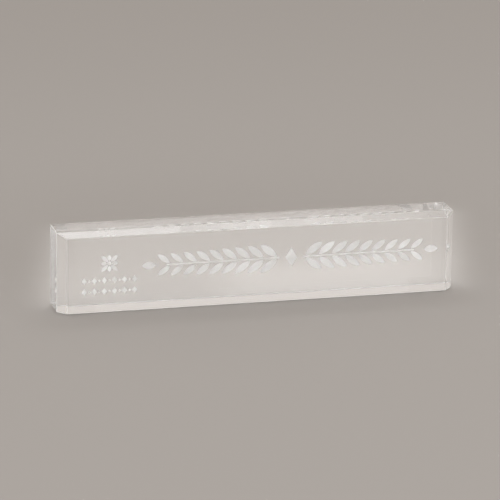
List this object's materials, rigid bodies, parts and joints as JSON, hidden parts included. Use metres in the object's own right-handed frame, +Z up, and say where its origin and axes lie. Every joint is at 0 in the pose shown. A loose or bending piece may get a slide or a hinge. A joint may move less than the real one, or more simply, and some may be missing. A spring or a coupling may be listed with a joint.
{
  "type": "desk name plate",
  "caption": "Clear acrylic bar with a bevelled front that stands on its long edge on low bumper feet and carries a frosted engraving on its back, seen through the front.",
  "frame": {"origin": "middle of the footprint, on the desk surface", "axes": "+X along the bar to the reader's right, +Y from the front face to the back, +Z up"},
  "size_m": [0.254, 0.0254, 0.052],
  "materials": {
    "clear_acrylic": "polished clear",
    "clear_bumper": "soft satin, translucent"
  },
  "bodies": {
    "root": {"acrylic_bar": "clear_acrylic", "front_left_foot": "clear_bumper", "front_right_foot": "clear_bumper", "rear_left_foot": "clear_bumper", "rear_right_foot": "clear_bumper"}
  },
  "joints": []
}
